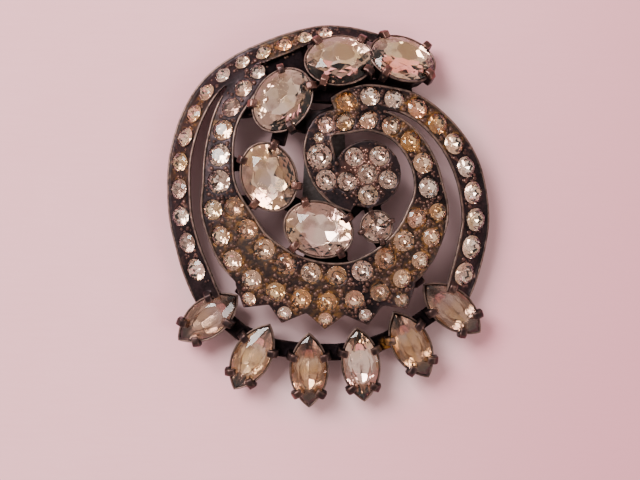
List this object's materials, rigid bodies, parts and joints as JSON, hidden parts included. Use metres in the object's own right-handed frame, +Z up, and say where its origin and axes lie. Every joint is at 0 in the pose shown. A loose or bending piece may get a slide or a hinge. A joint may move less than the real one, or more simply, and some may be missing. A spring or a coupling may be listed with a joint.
{
  "type": "dress clip",
  "caption": "Domed openwork dress clip: a cast swirl of graded round stones round a stone-set button, with oval stones and a fringe of navettes.",
  "frame": {"origin": "centre of the clip's outline, on the surface that it lies on", "axes": "+Z up towards the faces of the stones, +Y towards the top band, +X to the right as seen from the front"},
  "size_m": [0.0486, 0.0578, 0.0107],
  "materials": {
    "cast_metal": "dark tarnished casting, worn copper-pink on its edges",
    "clip_steel": "dulled spring metal",
    "clear_stones": "cut, foil-backed, clear",
    "yellowed_stones": "cut, foil-backed, yellowed"
  },
  "bodies": {
    "root": {"frame": "cast_metal", "clip_back": "clip_steel", "oval_stone_1": "clear_stones", "oval_stone_2": "clear_stones", "oval_stone_3": "clear_stones", "oval_stone_4": "clear_stones", "oval_stone_5": "clear_stones", "navette_stone_1": "clear_stones", "navette_stone_2": "clear_stones", "navette_stone_3": "clear_stones", "navette_stone_4": "clear_stones", "navette_stone_5": "clear_stones", "navette_stone_6": "clear_stones", "round_stone": "clear_stones", "outer_row_stones": "clear_stones", "left_row_stones": "clear_stones", "ring_row_stones": "clear_stones", "right_row_stones": "clear_stones", "rosette_stones": "clear_stones", "pave_stones": "yellowed_stones"}
  },
  "joints": []
}
